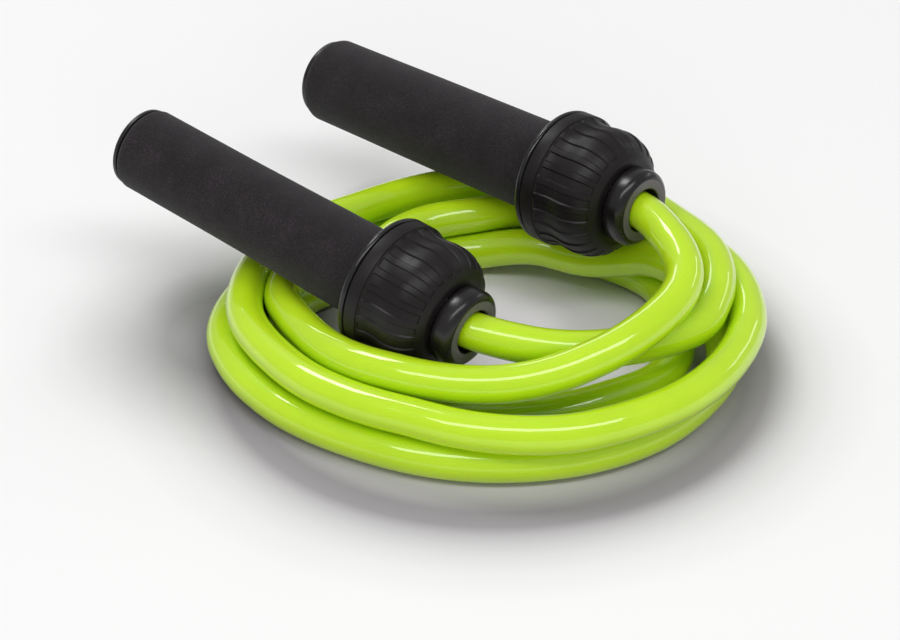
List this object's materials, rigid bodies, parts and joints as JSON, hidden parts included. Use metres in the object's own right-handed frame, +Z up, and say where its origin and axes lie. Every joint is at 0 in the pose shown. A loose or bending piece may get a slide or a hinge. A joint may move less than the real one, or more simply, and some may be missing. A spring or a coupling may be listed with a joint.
{
  "type": "jump rope",
  "caption": "Weighted jump rope with a thick PVC rope lying in a coil and two foam-covered handles that spin on ball bearings at the rope ends.",
  "frame": {"origin": "on the floor, on the coil's flat underside, below the middle of the two handles", "axes": "+Z up; +X along the handles from their free ends towards their noses, where the rope comes out; +Y from the left handle to the right one"},
  "size_m": [0.2107, 0.17, 0.0659],
  "materials": {
    "foam": "matte black closed-cell foam with a fine grain",
    "tube_plastic": "moulded black core tube, hidden by the foam",
    "cap_plastic": "black moulded end cap",
    "cover_plastic": "black moulded cover with a glossy edge",
    "housing_plastic": "semi-matte black moulded housing",
    "collar_plastic": "glossy black swivel collar with a matte front face",
    "bearing_steel": "ground bearing steel",
    "ferrule_steel": "plain crimped steel",
    "screw_steel": "black-oxide steel screws",
    "cage_nylon": "natural nylon",
    "rope_pvc": "glossy solid lime-green PVC"
  },
  "bodies": {
    "rope": {"rope_coil": "rope_pvc", "rope_left_tail": "rope_pvc", "rope_right_tail": "rope_pvc", "left_spindle_collar": "collar_plastic", "left_spacer_sleeve": "bearing_steel", "left_inner_race": "bearing_steel", "left_retaining_ring": "bearing_steel", "left_rope_ferrule": "ferrule_steel", "right_spindle_collar": "collar_plastic", "right_spacer_sleeve": "bearing_steel", "right_inner_race": "bearing_steel", "right_retaining_ring": "bearing_steel", "right_rope_ferrule": "ferrule_steel"},
    "left_handle": {"left_dome_housing": "housing_plastic", "left_rear_cover": "cover_plastic", "left_foam_grip": "foam", "left_grip_tube": "tube_plastic", "left_end_cap": "cap_plastic", "left_outer_race": "bearing_steel", "left_cover_screw_1": "screw_steel", "left_cover_screw_2": "screw_steel", "left_cover_screw_3": "screw_steel"},
    "left_balls": {"left_ball_cage": "cage_nylon", "left_ball_1": "bearing_steel", "left_ball_2": "bearing_steel", "left_ball_3": "bearing_steel", "left_ball_4": "bearing_steel", "left_ball_5": "bearing_steel", "left_ball_6": "bearing_steel", "left_ball_7": "bearing_steel"},
    "right_handle": {"right_dome_housing": "housing_plastic", "right_rear_cover": "cover_plastic", "right_foam_grip": "foam", "right_grip_tube": "tube_plastic", "right_end_cap": "cap_plastic", "right_outer_race": "bearing_steel", "right_cover_screw_1": "screw_steel", "right_cover_screw_2": "screw_steel", "right_cover_screw_3": "screw_steel"},
    "right_balls": {"right_ball_cage": "cage_nylon", "right_ball_1": "bearing_steel", "right_ball_2": "bearing_steel", "right_ball_3": "bearing_steel", "right_ball_4": "bearing_steel", "right_ball_5": "bearing_steel", "right_ball_6": "bearing_steel", "right_ball_7": "bearing_steel"}
  },
  "joints": [
    {"name": "left_handle_spin", "type": "hinge", "parent": "rope", "child": "left_handle", "pos_m": [0.0711, -0.0404, 0.0324], "axis": [0.9945, 0.026, -0.1011], "continuous": true},
    {"name": "left_balls_spin", "type": "hinge", "parent": "rope", "child": "left_balls", "pos_m": [0.0711, -0.0404, 0.0324], "axis": [0.9945, 0.026, -0.1011], "continuous": true},
    {"name": "right_handle_spin", "type": "hinge", "parent": "rope", "child": "right_handle", "pos_m": [0.0761, 0.0404, 0.0434], "axis": [0.9994, -0.0262, 0.0209], "continuous": true},
    {"name": "right_balls_spin", "type": "hinge", "parent": "rope", "child": "right_balls", "pos_m": [0.0761, 0.0404, 0.0434], "axis": [0.9994, -0.0262, 0.0209], "continuous": true}
  ],
  "couplings": [
    {"joint": "left_balls_spin", "follows": "left_handle_spin", "ratio": 0.5673},
    {"joint": "right_balls_spin", "follows": "right_handle_spin", "ratio": 0.5673}
  ]
}
